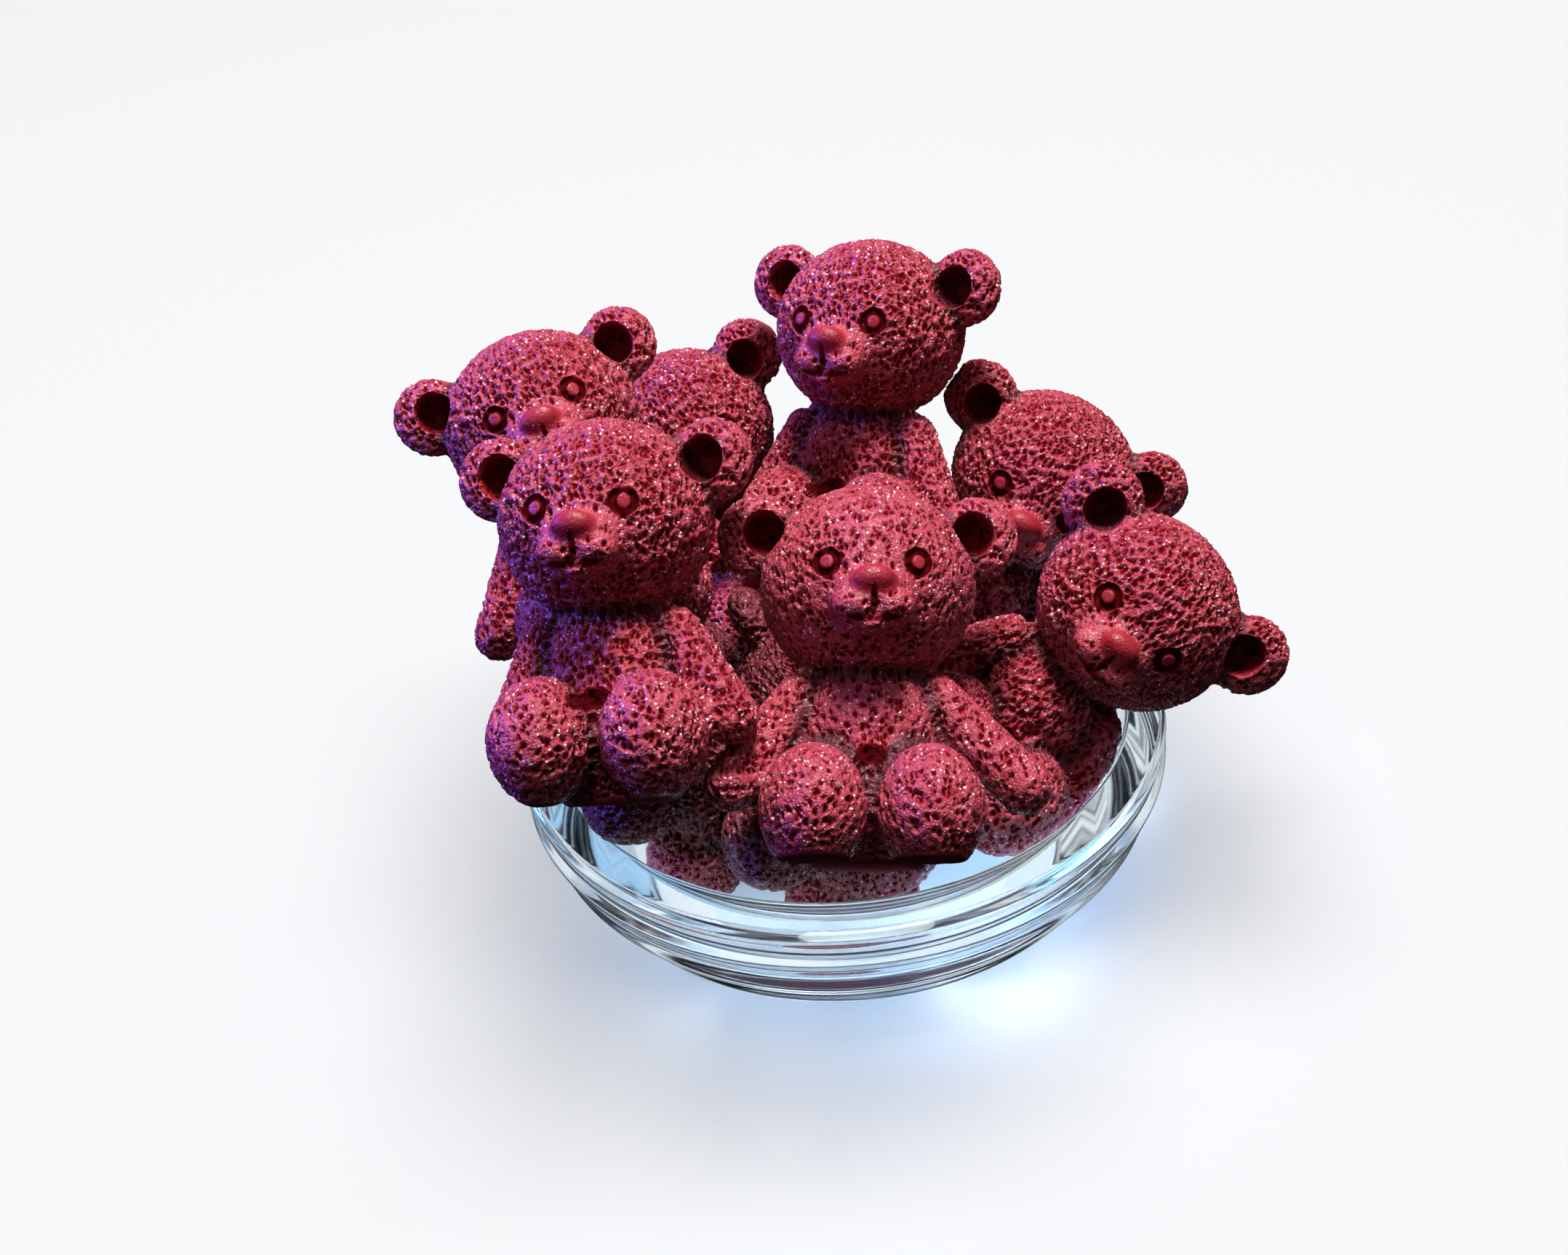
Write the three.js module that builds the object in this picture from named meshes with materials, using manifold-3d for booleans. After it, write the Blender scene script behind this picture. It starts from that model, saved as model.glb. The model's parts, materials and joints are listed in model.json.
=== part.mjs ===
// Gummy bears heaped in a small round glass dish.
// Millimetres, +Z up. The origin is the middle of the dish's flat underside, and the heap is seen from -Y.
import * as THREE from "three";
import { mergeVertices } from "three/addons/utils/BufferGeometryUtils.js";
import Module from "manifold-3d";

const wasm = await Module();
wasm.setup();

// ---- Driving dimensions -------------------------------------------------------------------------------------------

const GAP = 0.3; // air left between pieces that are pressed together

// A thick lathe-turned dish. Each outside band is a ring of glass that ends below in a shallow groove.
const DISH = {
  mouth: 35.8, // radius of the opening
  rim: 40.7, // radius of the rim's flat top
  height: 20.5,
  floor: 5.5, // thickness of the glass under the bears
  base: 31, // radius of the flat underside
  bulge: 41.5, // the largest radius, a little below the rim
  bands: [17.5, 12, 6.5], // height of each groove
  groove: 0.6, // how deep and how wide a groove is
  segments: 48,
};

// One mould makes every bear, so all share these sizes. A bear sits on z = 0 and looks towards -Y.
// at is a middle, half is half the width, depth and height, and a left-hand part mirrors the right-hand one.
const HEAD = { at: [0, 0, 32], half: [12.3, 11.8, 11.6], fineness: [14, 8] };
const MUZZLE = { at: [0, -9.8, 28.2], half: [5, 4.4, 4.2], fineness: [8, 5] };
const NOSE = { at: [0, -13.5, 29.8], half: [2.4, 1.5, 1.6], fineness: [6, 3] };
const EAR = { at: [12.5, 0, 37.9], half: [4.9, 2.8, 5], fineness: [8, 5] };
const EAR_HOLLOW = { at: [12.6, -2.7, 37.9], half: [2.6, 3.6, 2.8], fineness: [6, 3] };
const CHEST = { at: [0, 0.5, 15.4], half: [9, 7.7, 8.4], fineness: [8, 5] };
const BELLY = { at: [0, 0.8, 8.2], half: [11.1, 9.4, 10], fineness: [12, 6] };
const FOOT = { at: [6.3, -7.6, 6.2], half: [6.2, 7.1, 7.4], fineness: [8, 5] };
const SHOULDER = [7.6, -0.8, 18.7];
const HAND = { forward: -3.4, height: 8.8 };
const ARM = { radius: 3.35, fineness: [2, 7] };

// Where each bear lies: the middle of its flat base, its lean from upright, the compass direction it leans to
// (0 is +X and 90 is +Y), its turn about its own height, and how far its left and right hand hang out to the side.
// Millimetres and degrees. Each bear is pressed in where it meets those above it in this list.
const PLACES = [
  { name: "bear_top", base: [3.4, 13.6, 31.1], lean: 32, towards: 69, turn: -30, hands: [11.5, 13] },
  { name: "bear_front", base: [0.3, -37.5, 26.5], lean: 48, towards: 81, turn: -1, hands: [15.2, 17] },
  { name: "bear_front_left", base: [-26.4, -30.7, 33.9], lean: 41, towards: 85, turn: -12, hands: [10.5, 14] },
  { name: "bear_left", base: [-24.4, -1.5, 32.5], lean: 42, towards: 114, turn: 8, hands: [14.5, 14] },
  { name: "bear_right", base: [11.3, -13.2, 17.5], lean: 51, towards: 7, turn: -23, hands: [13, 13] },
  { name: "bear_back_right", base: [13.8, 18, 10.9], lean: 31, towards: 9, turn: -20, hands: [13, 13] },
  { name: "bear_back_left", base: [-5.5, 26.4, 13.9], lean: 27, towards: 139, turn: 10, hands: [13, 13] },
  { name: "bear_under_front", base: [1, -31.5, 21.5], lean: 91, towards: 96, turn: -115, hands: [13, 13] },
  { name: "bear_under_left", base: [-14.5, -22.5, 25.5], lean: 100, towards: 106, turn: -104, hands: [13, 13] },
];

// ---- Materials ----------------------------------------------------------------------------------------------------

const gummy = new THREE.MeshStandardMaterial({ color: 0x8f2438, roughness: 0.45, metalness: 0 });
const glass = new THREE.MeshStandardMaterial({ color: 0xd8e8ec, roughness: 0.05, metalness: 0 });
glass.transparent = true;
glass.opacity = 0.35;

// ---- Solids -------------------------------------------------------------------------------------------------------

/** A closed three.js geometry as a manifold-3d solid. */
function solidOf(geometry) {
  geometry.deleteAttribute("normal");
  geometry.deleteAttribute("uv");
  const merged = mergeVertices(geometry, 1e-4);
  const vertProperties = merged.attributes.position.array;
  const triVerts = new Uint32Array(merged.index.array);
  return new wasm.Manifold(new wasm.Mesh({ numProp: 3, vertProperties, triVerts }));
}

/** A manifold-3d solid as a three.js geometry. */
function geometryOf(solid) {
  const { vertProperties, triVerts } = solid.getMesh();
  const geometry = new THREE.BufferGeometry();
  geometry.setAttribute("position", new THREE.BufferAttribute(vertProperties, 3));
  geometry.setIndex(new THREE.BufferAttribute(triVerts, 1));
  geometry.computeVertexNormals();
  return geometry;
}

/** All the solids of a list in one. */
const joined = (solids) => solids.reduce((whole, solid) => whole.add(solid));

/** The largest body of a solid, without the scraps that a cut can leave. */
const mainBody = (solid) => solid.decompose().reduce((a, b) => (a.volume() > b.volume() ? a : b));

/** What make gives for the left side, -1, and for the right side, 1. */
const bothSides = (make) => [-1, 1].map(make);

// ---- The bear -----------------------------------------------------------------------------------------------------

/** A rounded lump: an ellipsoid, made larger all round by grow. */
function lump({ at: [x, y, z], half, fineness }, grow, side = 1) {
  const [width, depth, height] = half.map((size) => size + grow);
  const geometry = new THREE.SphereGeometry(1, ...fineness);
  return solidOf(geometry.rotateX(Math.PI / 2).scale(width, depth, height).translate(side * x, y, z));
}

/** An arm that hangs from the shoulder to a hand this far out to the side, made larger all round by grow. */
function arm(out, grow, side) {
  const { radius, fineness } = ARM;
  const shoulder = new THREE.Vector3(side * SHOULDER[0], SHOULDER[1], SHOULDER[2]);
  const hand = new THREE.Vector3(side * out, HAND.forward, HAND.height);
  const geometry = new THREE.CapsuleGeometry(radius + grow, shoulder.distanceTo(hand), ...fineness);
  const along = hand.clone().sub(shoulder).normalize();
  const turn = new THREE.Quaternion().setFromUnitVectors(new THREE.Vector3(0, 1, 0), along);
  const middle = shoulder.add(hand).multiplyScalar(0.5);
  return solidOf(geometry.applyQuaternion(turn).translate(...middle));
}

/** Everything a bear could have under a level, to trim its base flat. */
function below(level) {
  const size = 60;
  return solidOf(new THREE.BoxGeometry(size, size, size).translate(0, 0, level - size / 2));
}

/** One whole bear with its hands this far out, made larger all round by grow. */
function bear([leftHand, rightHand], grow = 0) {
  const body = [HEAD, MUZZLE, NOSE, CHEST, BELLY].map((part) => lump(part, grow));
  const features = [EAR, FOOT].flatMap((part) => bothSides((side) => lump(part, grow, side)));
  const arms = [arm(leftHand, grow, -1), arm(rightHand, grow, 1)];
  const whole = joined([...body, ...features, ...arms]).subtract(below(-grow));
  if (grow > 0) {
    return whole;
  }
  return whole.subtract(joined(bothSides((side) => lump(EAR_HOLLOW, 0, side))));
}

/** Moves a bear from its own frame to its place. */
function placed(solid, { base, lean, towards, turn }) {
  const axisAngle = THREE.MathUtils.degToRad(towards + 90);
  const axis = new THREE.Vector3(Math.cos(axisAngle), Math.sin(axisAngle), 0);
  const matrix = new THREE.Matrix4().makeTranslation(...base);
  matrix.multiply(new THREE.Matrix4().makeRotationAxis(axis, THREE.MathUtils.degToRad(lean)));
  matrix.multiply(new THREE.Matrix4().makeRotationZ(THREE.MathUtils.degToRad(turn)));
  return solid.transform(matrix.elements);
}

// ---- The dish -----------------------------------------------------------------------------------------------------

/** Radius of the dish's outside at a height: it swells from the base to the bulge and draws in to the rim. */
function outsideRadius(z) {
  const { base, bulge, rim, height, bands } = DISH;
  const widest = bands[0];
  if (z > widest) {
    return THREE.MathUtils.mapLinear(z, widest, height, bulge, rim);
  }
  return base + (bulge - base) * Math.sin((Math.PI / 2) * (z / widest)) ** 0.8;
}

/** The dish, made larger all round by grow. */
function dish(grow = 0) {
  const { mouth, rim, base, height, floor, bands, groove, segments } = DISH;
  const inside = [
    [0, floor],
    [mouth * 0.66, floor + 0.4],
    [mouth * 0.86, floor + 2.6],
    [mouth * 0.96, floor + 7],
    [mouth, height],
  ].map(([r, z]) => [Math.max(r - grow, 0), z + grow]);
  const outside = bands.flatMap((z) => [
    [outsideRadius(z + groove) + grow, z + groove],
    [outsideRadius(z) - groove + grow, z],
  ]);
  const outline = [...inside, [rim + grow, height + grow], ...outside, [base + grow, 0], [0, 0]].reverse();
  const geometry = new THREE.LatheGeometry(outline.map(([r, z]) => new THREE.Vector2(r, z)), segments);
  return solidOf(geometry.rotateX(Math.PI / 2));
}

// ---- The whole ----------------------------------------------------------------------------------------------------

/** A named mesh of one solid. */
function piece(name, solid, material) {
  const mesh = new THREE.Mesh(geometryOf(solid), material.clone());
  mesh.name = name;
  return mesh;
}

/** The dish with the bears in it, each cut clear of what is there before it. */
function heap() {
  const group = new THREE.Group();
  group.add(piece("dish", dish(), glass));
  let taken = dish(GAP);
  for (const place of PLACES) {
    const solid = placed(bear(place.hands), place).subtract(taken);
    group.add(piece(place.name, mainBody(solid), gummy));
    taken = taken.add(placed(bear(place.hands, GAP), place));
  }
  return group;
}

export default heap();
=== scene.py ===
"""A dish of gummy bears: nine bears cast from one mould, heaped in a small round glass dish.

The sizes below are millimetres, because the mould is cut at that scale. A finished piece is shrunk to metres
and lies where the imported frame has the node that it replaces.
"""

import json
import logging
import math
from dataclasses import dataclass, field
from enum import Enum
from typing import Any, Sequence

import bpy
import numpy as np
from mathutils import Matrix, Quaternion, Vector

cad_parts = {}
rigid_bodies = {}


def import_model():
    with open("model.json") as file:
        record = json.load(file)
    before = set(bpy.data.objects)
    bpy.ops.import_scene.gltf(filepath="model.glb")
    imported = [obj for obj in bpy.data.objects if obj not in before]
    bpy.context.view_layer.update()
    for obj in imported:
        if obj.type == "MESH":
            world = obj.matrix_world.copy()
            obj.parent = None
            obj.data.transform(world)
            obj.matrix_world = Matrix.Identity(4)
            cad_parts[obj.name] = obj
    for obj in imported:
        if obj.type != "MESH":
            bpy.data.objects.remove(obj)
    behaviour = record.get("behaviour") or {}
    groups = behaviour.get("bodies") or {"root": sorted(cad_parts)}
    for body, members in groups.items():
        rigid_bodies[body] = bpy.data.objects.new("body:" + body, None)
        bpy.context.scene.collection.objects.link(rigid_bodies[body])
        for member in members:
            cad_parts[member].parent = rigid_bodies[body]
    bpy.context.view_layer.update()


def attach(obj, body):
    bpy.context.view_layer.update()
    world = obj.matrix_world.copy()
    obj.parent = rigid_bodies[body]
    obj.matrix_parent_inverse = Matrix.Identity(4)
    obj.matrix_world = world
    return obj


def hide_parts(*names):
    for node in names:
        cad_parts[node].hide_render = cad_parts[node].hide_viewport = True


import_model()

MM = 0.001  # metres in a millimetre
ROOT = "root"
HAIR = 1e-4  # slack where points are picked by their place
SOFTENING = 0.5  # how strongly a melted skin is smoothed, from 0 to 1
Point = tuple[float, float, float]
Tint = tuple[float, float, float]  # red, green and blue
Colour = tuple[float, float, float, float]
Range = tuple[float, float]
Outline = list[tuple[float, float]]  # points as radius and height
Socket = bpy.types.NodeSocket
log = logging.getLogger("dish_of_bears")


class Grain(Enum):
    """How finely a bear's skin is meshed: the edge of a face, in millimetres."""

    SHOWN = 0.265
    BURIED = 0.4
    TRIAL = 0.42


# ---- Workbench: the few operators that every piece is made with ----


def deselect_all() -> None:
    """Leaves object mode with nothing selected, since an operator acts on all that is."""
    active = bpy.context.view_layer.objects.active
    if active and active.mode != "OBJECT":
        bpy.ops.object.mode_set(mode="OBJECT")
    bpy.ops.object.select_all(action="DESELECT")


def select_only(*things: bpy.types.Object) -> None:
    """Selects these objects, the first one active.

    Args:
        *things: the objects that the next operator acts on.
    """
    deselect_all()
    for thing in things:
        thing.select_set(True)
    bpy.context.view_layer.objects.active = things[0]


def apply_modifier(thing: bpy.types.Object, kind: str, **settings: Any) -> None:
    """Adds a modifier to an object and applies it.

    Args:
        thing: the object.
        kind: the modifier's type.
        **settings: its properties.
    """
    modifier = thing.modifiers.new(kind.title(), kind)
    for name, value in settings.items():
        setattr(modifier, name, value)
    select_only(thing)
    bpy.ops.object.modifier_apply(modifier=modifier.name)


def bake_place(thing: bpy.types.Object) -> bpy.types.Object:
    """Moves an object's place, turn and scale into its mesh.

    Args:
        thing: the object.

    Returns:
        The same object, at the origin.
    """
    select_only(thing)
    bpy.ops.object.transform_apply(location=True, rotation=True, scale=True)
    return thing


def join(things: Sequence[bpy.types.Object]) -> bpy.types.Object:
    """Joins objects into the first of them.

    Args:
        things: at least one object.

    Returns:
        The joined object.
    """
    select_only(*things)
    if len(things) > 1:
        bpy.ops.object.join()
    return things[0]


def copy_of(thing: bpy.types.Object) -> bpy.types.Object:
    """A copy of an object with its own mesh.

    Args:
        thing: the object to copy.

    Returns:
        The copy, linked to the scene.
    """
    double = thing.copy()
    double.data = thing.data.copy()
    bpy.context.scene.collection.objects.link(double)
    return double


def select_points(thing: bpy.types.Object, points: Sequence[int]) -> None:
    """Goes into edit mode on an object with just these points selected.

    Args:
        thing: the object.
        points: the numbers of its vertices.
    """
    select_only(thing)
    bpy.ops.object.mode_set(mode="EDIT")
    bpy.ops.mesh.select_mode(type="VERT")
    bpy.ops.mesh.select_all(action="DESELECT")
    bpy.ops.object.mode_set(mode="OBJECT")
    for point in points:
        thing.data.vertices[point].select = True
    bpy.ops.object.mode_set(mode="EDIT")


def scrap(things: Sequence[bpy.types.Object]) -> None:
    """Throws away objects that were only tools.

    Args:
        things: the objects, with meshes that nothing else uses.
    """
    for thing in things:
        bpy.data.meshes.remove(thing.data)


def cut_away(thing: bpy.types.Object, cutter: bpy.types.Object) -> None:
    """Cuts one closed shape out of another.

    Args:
        thing: the object that is cut.
        cutter: the object whose space is taken away.
    """
    apply_modifier(thing, "BOOLEAN", operation="DIFFERENCE", solver="MANIFOLD", object=cutter)


def melt(thing: bpy.types.Object, edge: float) -> None:
    """Melts overlapping closed shells into one even skin and softens it.

    Args:
        thing: the object.
        edge: length of an edge of the new skin, in millimetres.
    """
    apply_modifier(thing, "REMESH", mode="VOXEL", voxel_size=edge, adaptivity=0.0)
    apply_modifier(thing, "SMOOTH", factor=SOFTENING, iterations=1)


def box_round(thing: bpy.types.Object) -> tuple[np.ndarray, np.ndarray]:
    """The lowest and the highest corner of the box round an object at the origin."""
    corners = np.array([tuple(corner) for corner in thing.bound_box])
    return corners.min(axis=0), corners.max(axis=0)


def boxes_meet(a: bpy.types.Object, b: bpy.types.Object) -> bool:
    """Tells whether the boxes round two objects at the origin overlap.

    Args:
        a: one object.
        b: the other.

    Returns:
        True where they do.
    """
    low_a, high_a = box_round(a)
    low_b, high_b = box_round(b)
    return bool(np.all(low_a < high_b) and np.all(low_b < high_a))


def points_of(thing: bpy.types.Object) -> np.ndarray:
    """The places of an object's vertices, one row each."""
    points = np.empty(len(thing.data.vertices) * 3, np.float32)
    thing.data.vertices.foreach_get("co", points)
    return points.reshape(-1, 3)


def fade(values: np.ndarray, start: float, end: float) -> np.ndarray:
    """1 at start and before it, 0 at end and past it, and between them a straight fall."""
    return np.clip((end - values) / (end - start), 0, 1)


class Wiring:
    """Adds nodes to a node tree and joins them, so that a finish reads from its inputs to its result."""

    MIX_COLOURS = (6, 7)  # places of a Mix node's two colours among its inputs
    MIXED_COLOUR = 2  # place of the mixed colour among its outputs

    def __init__(self, tree: bpy.types.NodeTree) -> None:
        """Starts on a tree.

        Args:
            tree: a material's, a group's or a modifier's node tree.
        """
        self.tree = tree

    def add(self, kind: str, inputs: dict[str | int, Any] | None = None, **settings: Any) -> bpy.types.Node:
        """Adds a node.

        Args:
            kind: the node's type name.
            inputs: a value or another node's output for each input, by name or number.
            **settings: the node's own properties.

        Returns:
            The node.
        """
        node = self.tree.nodes.new(kind)
        for name, value in settings.items():
            setattr(node, name, value)
        for key, value in (inputs or {}).items():
            self.plug(value, node.inputs[key])
        return node

    def plug(self, value: Any, socket: Socket) -> None:
        """Feeds an input with an output or a plain value.

        Args:
            value: the output socket, number, vector or colour.
            socket: the input.
        """
        if isinstance(value, Socket):
            self.tree.links.new(value, socket)
        else:
            socket.default_value = value

    def math(self, operation: str, *values: Any) -> Socket:
        """A sum of numbers.

        Args:
            operation: the Math node's operation.
            *values: its inputs.

        Returns:
            The result's socket.
        """
        return self.add("ShaderNodeMath", dict(enumerate(values)), operation=operation).outputs[0]

    def vector(self, operation: str, *values: Any) -> Socket:
        """A sum of vectors.

        Args:
            operation: the Vector Math node's operation.
            *values: its inputs.

        Returns:
            The resulting vector's socket.
        """
        return self.add("ShaderNodeVectorMath", dict(enumerate(values)), operation=operation).outputs[0]

    def ease(self, value: Any, start: float, end: float, low: float = 0.0, high: float = 1.0) -> Socket:
        """A smooth step from one value to another.

        Args:
            value: the number that drives it.
            start: where the step starts.
            end: where it ends, which may be below start.
            low: the result at the start.
            high: the result at the end.

        Returns:
            The result's socket.
        """
        inputs = {"Value": value, "From Min": start, "From Max": end, "To Min": low, "To Max": high}
        return self.add("ShaderNodeMapRange", inputs, interpolation_type="SMOOTHSTEP").outputs[0]

    def noise(self, at: Any, scale: float, detail: float, colour: bool = False) -> Socket:
        """Soft noise.

        Args:
            at: the coordinates.
            scale: features to a unit of length.
            detail: how many finer layers it has.
            colour: gives a vector in place of a number.

        Returns:
            The noise's socket.
        """
        node = self.add("ShaderNodeTexNoise", {"Vector": at, "Scale": scale, "Detail": detail})
        return node.outputs["Color" if colour else 0]

    def cells(self, at: Any, scale: float) -> tuple[Socket, Socket]:
        """Cells round scattered points.

        Args:
            at: the coordinates.
            scale: cells to a unit of length.

        Returns:
            The distance to a cell's point, and three random numbers that are the cell's own.
        """
        node = self.add("ShaderNodeTexVoronoi", {"Vector": at, "Scale": scale})
        return node.outputs["Distance"], node.outputs["Color"]

    def part(self, vector: Any, place: int) -> Socket:
        """One of a vector's three numbers, by its place from 0 to 2."""
        return self.add("ShaderNodeSeparateXYZ", {0: vector}).outputs[place]

    def bump(self, height: Socket, strength: float, distance: float, over: Socket | None = None) -> Socket:
        """Fine relief that only the light sees.

        Args:
            height: the relief.
            strength: how much of it counts, from 0 to 1.
            distance: how high it stands where height is 1, in metres.
            over: a normal that already has relief, which this one adds to.

        Returns:
            The normal's socket.
        """
        inputs = {"Height": height, "Strength": strength, "Distance": distance}
        if over is not None:
            inputs["Normal"] = over
        return self.add("ShaderNodeBump", inputs).outputs[0]

    def blend(self, share: Any, a: Any, b: Any) -> Socket:
        """A mix of two colours.

        Args:
            share: how much of the second colour.
            a: the first colour.
            b: the second colour.

        Returns:
            The mixed colour's socket.
        """
        node = self.add("ShaderNodeMix", data_type="RGBA")
        self.plug(share, node.inputs["Factor"])
        for place, colour in zip(self.MIX_COLOURS, (a, b)):
            self.plug(colour, node.inputs[place])
        return node.outputs[self.MIXED_COLOUR]


# ---- The mould ----


@dataclass(frozen=True)
class Lump:
    """A rounded part of the mould: an ellipsoid by its middle and its half width, depth and height."""

    at: Point
    half: Point

    def middle(self, side: int) -> Vector:
        """Its middle on the right side, 1, or the left side, -1."""
        return Vector((self.at[0] * side, self.at[1], self.at[2]))

    def form(self, side: int = 1, rings: int = 32) -> bpy.types.Object:
        """Adds it to the scene.

        Args:
            side: 1 for the right side or -1 for the left.
            rings: rows of faces from pole to pole.

        Returns:
            The closed ellipsoid.
        """
        bpy.ops.mesh.primitive_uv_sphere_add(segments=rings * 3 // 2, ring_count=rings, radius=1)
        ball = bpy.context.object
        ball.location = self.middle(side)
        ball.scale = self.half
        return bake_place(ball)

    def nearness(self, points: np.ndarray, start: float, end: float) -> np.ndarray:
        """How near points are to it, on either side of the bear.

        Args:
            points: one row a point, in the bear's own frame.
            start: share of its half size out to which the answer is 1.
            end: share of its half size from which the answer is 0.

        Returns:
            A number from 0 to 1 for each point.
        """
        one_side = np.column_stack((np.abs(points[:, 0]), points[:, 1:]))
        away = np.linalg.norm((one_side - self.at) / self.half, axis=1)
        share = np.clip((end - away) / (end - start), 0, 1)
        return share * share * (3 - 2 * share)


@dataclass(frozen=True)
class Patch:
    """How a part of the mould marks the skin on it and near it.

    The mark has its full strength, from 0 to 1, out to start and is gone at end. Both are shares of the
    part's half size.
    """

    lump: Lump
    strength: float
    start: float
    end: float

    def mark(self, points: np.ndarray) -> np.ndarray:
        """The mark at each point, one row a point, in the bear's own frame."""
        return self.strength * self.lump.nearness(points, self.start, self.end)


@dataclass(frozen=True)
class Mould:
    """The bear's mould. A bear sits on z = 0 and looks towards -Y.

    Eye across and eye up are an eye's place from the head's middle. A range says where a mark on the skin is
    whole and where it is gone: how far forward the soles are polished, how high up the base is, how far from
    an eye, and how far from its ring and how deep in an ear the skin is dark with painted shade.
    """

    head: Lump = Lump((0, 0, 32), (12.5, 12.0, 11.8))
    muzzle: Lump = Lump((0, -9.8, 28.2), (5.0, 4.4, 4.1))
    cheek: Lump = Lump((2.2, -12.2, 27.1), (2.5, 2.1, 2.0))
    lip: Lump = Lump((0, -12.2, 24.9), (1.5, 1.4, 0.9))
    mouth: Lump = Lump((1.5, -14.2, 25.4), (1.6, 1.4, 0.35))
    nose: Lump = Lump((0, -13.5, 29.8), (2.4, 1.5, 1.7))
    ear: Lump = Lump((12.5, 0.0, 37.9), (5.0, 2.9, 5.1))
    ear_hollow: Lump = Lump((11.9, -3.0, 37.8), (2.35, 4.6, 2.6))
    chest: Lump = Lump((0, 0.5, 15.4), (8.9, 7.6, 8.3))
    belly: Lump = Lump((0, 0.8, 8.2), (10.8, 9.3, 10.0))
    foot: Lump = Lump((6.3, -7.7, 6.8), (6.1, 7.0, 7.3))
    navel: Lump = Lump((0, -9.6, 11.8), (2.0, 2.6, 1.4))
    groove_under_nose: Lump = Lump((0, -14.6, 26.9), (0.33, 1.1, 1.7))
    shoulder: Point = (7.6, -0.8, 18.6)
    hand_forward: float = -3.4
    hand_height: float = 8.8
    arm_radius: float = 3.3
    eye_across: float = 5.15
    eye_up: float = 0.3
    eye_ring: float = 1.25
    eye_ring_width: float = 0.36
    eye_ring_depth: float = 0.9
    eye_ring_sunk: float = 0.4
    crease_width: float = 1.2
    sole_range: Range = (-12.5, -10.5)
    sole_top: float = 15.0
    sole_polish: float = 0.35
    base_range: Range = (0.2, 0.9)
    eye_range: Range = (1.5, 1.9)
    ring_range: Range = (0.3, 0.66)
    eye_dark: float = 0.15
    eye_reach: float = 1.5
    ear_range: Range = (-0.5, -2.9)

    def arm(self, out: float, side: int) -> bpy.types.Object:
        """Adds an arm that hangs from the shoulder.

        Args:
            out: how far the hand is out to the side.
            side: 1 for the right arm or -1 for the left.

        Returns:
            The arm, a ball pulled out to a rounded rod.
        """
        shoulder = Vector((self.shoulder[0] * side, *self.shoulder[1:]))
        hand = Vector((out * side, self.hand_forward, self.hand_height))
        along = hand - shoulder
        bpy.ops.mesh.primitive_uv_sphere_add(segments=32, ring_count=20, radius=self.arm_radius)
        rod = bpy.context.object
        upper = [point for point, place in enumerate(points_of(rod)) if place[2] > -HAIR]
        select_points(rod, upper)
        bpy.ops.transform.translate(value=(0, 0, along.length))
        bpy.ops.object.mode_set(mode="OBJECT")
        rod.matrix_world = Matrix.Translation(shoulder) @ along.to_track_quat("Z", "Y").to_matrix().to_4x4()
        return bake_place(rod)

    def eye_middle(self, side: int) -> tuple[Vector, Quaternion]:
        """Where an eye lies on the head.

        Args:
            side: 1 for the right eye or -1 for the left.

        Returns:
            Its middle on the skin, and the turn that brings +Z to the skin's outward direction there.
        """
        half = Vector(self.head.half)
        x, z = self.eye_across * side, self.eye_up
        y = -half.y * math.sqrt(1 - (x / half.x) ** 2 - (z / half.z) ** 2)
        outward = Vector((x / half.x**2, y / half.y**2, z / half.z**2)).normalized()
        return Vector(self.head.at) + Vector((x, y, z)), outward.to_track_quat("Z", "Y")

    def eye_groove(self, side: int) -> bpy.types.Object:
        """Adds the ring that is pressed in round an eye.

        Args:
            side: 1 for the right eye or -1 for the left.

        Returns:
            The ring, a cutter.
        """
        middle, turn = self.eye_middle(side)
        bpy.ops.mesh.primitive_torus_add(
            major_segments=36, minor_segments=12, major_radius=self.eye_ring, minor_radius=self.eye_ring_width
        )
        ring = bpy.context.object
        deeper = Matrix.Scale(self.eye_ring_depth / self.eye_ring_width, 4, (0, 0, 1))
        ring.matrix_world = Matrix.Translation(middle) @ turn.to_matrix().to_4x4() @ deeper
        return bake_place(ring)

    def plain_form(self, hands: tuple[float, float], feet_up: float, edge: float) -> bpy.types.Object:
        """Casts a bear without its small features.

        Args:
            hands: how far the left and the right hand are out to the side.
            feet_up: how much higher than usual the feet are.
            edge: length of an edge of its skin.

        Returns:
            One closed skin, in the bear's own frame.
        """
        whole = (self.head, self.muzzle, self.nose, self.lip, self.chest, self.belly)
        parts = [lump.form() for lump in whole]
        parts += [lump.form(side) for lump in (self.ear, self.cheek) for side in (-1, 1)]
        feet = [self.foot.form(side) for side in (-1, 1)]
        for foot in feet:
            foot.data.transform(Matrix.Translation((0, 0, feet_up)))
        parts += feet
        parts += [self.arm(hands[0], -1), self.arm(hands[1], 1)]
        bear = join(parts)
        melt(bear, edge)
        return bear

    def cutters(self) -> list[bpy.types.Object]:
        """Adds what is cut from the plain form: ear hollows, eye rings, small dents and all under the base.

        Returns:
            The cutters, which stay clear of each other.
        """
        half = 30.0
        bpy.ops.mesh.primitive_cube_add(size=2 * half, location=(0, 0, -half))
        ground = bake_place(bpy.context.object)
        hollows = [self.ear_hollow.form(side) for side in (-1, 1)]
        dents = [self.navel.form(rings=16), self.groove_under_nose.form(rings=16)]
        dents += [self.mouth.form(side, rings=16) for side in (-1, 1)]
        return [ground, *hollows, *dents, *(self.eye_groove(side) for side in (-1, 1))]

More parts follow.
